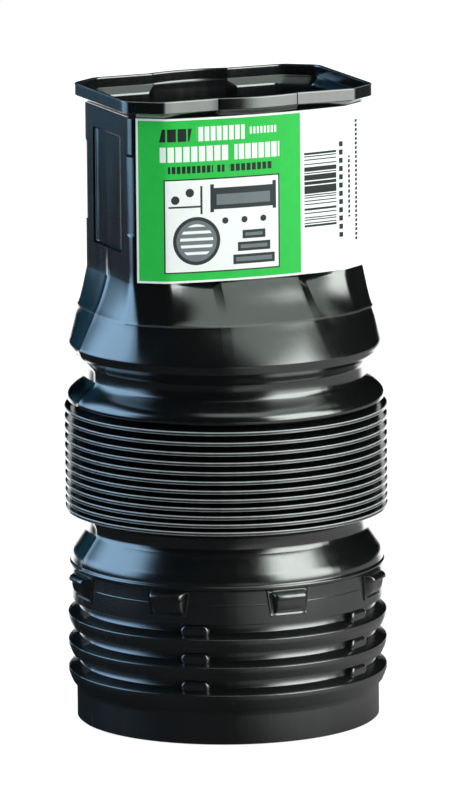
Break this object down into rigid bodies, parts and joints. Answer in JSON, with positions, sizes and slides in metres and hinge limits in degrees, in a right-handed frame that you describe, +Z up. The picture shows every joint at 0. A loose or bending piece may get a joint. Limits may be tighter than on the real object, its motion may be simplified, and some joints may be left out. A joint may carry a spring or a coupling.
{
  "type": "downspout adapter",
  "caption": "Flexible adapter from a rectangular downspout to a round drain pipe, with a finned collar, bellows and a label.",
  "frame": {"origin": "centre of the round skirt's bottom edge", "axes": "+Z up to the rectangular mouth, X along the mouth's long sides, the label on the -Y side"},
  "size_m": [0.1236, 0.1236, 0.2395],
  "materials": {
    "black_plastic": "gloss",
    "label_white": "satin",
    "label_green_ink": "satin",
    "label_dark_ink": "satin"
  },
  "bodies": {
    "root": {"adapter_body": "black_plastic", "label_paper": "label_white", "label_green": "label_green_ink", "label_dark_print": "label_dark_ink"}
  },
  "joints": []
}
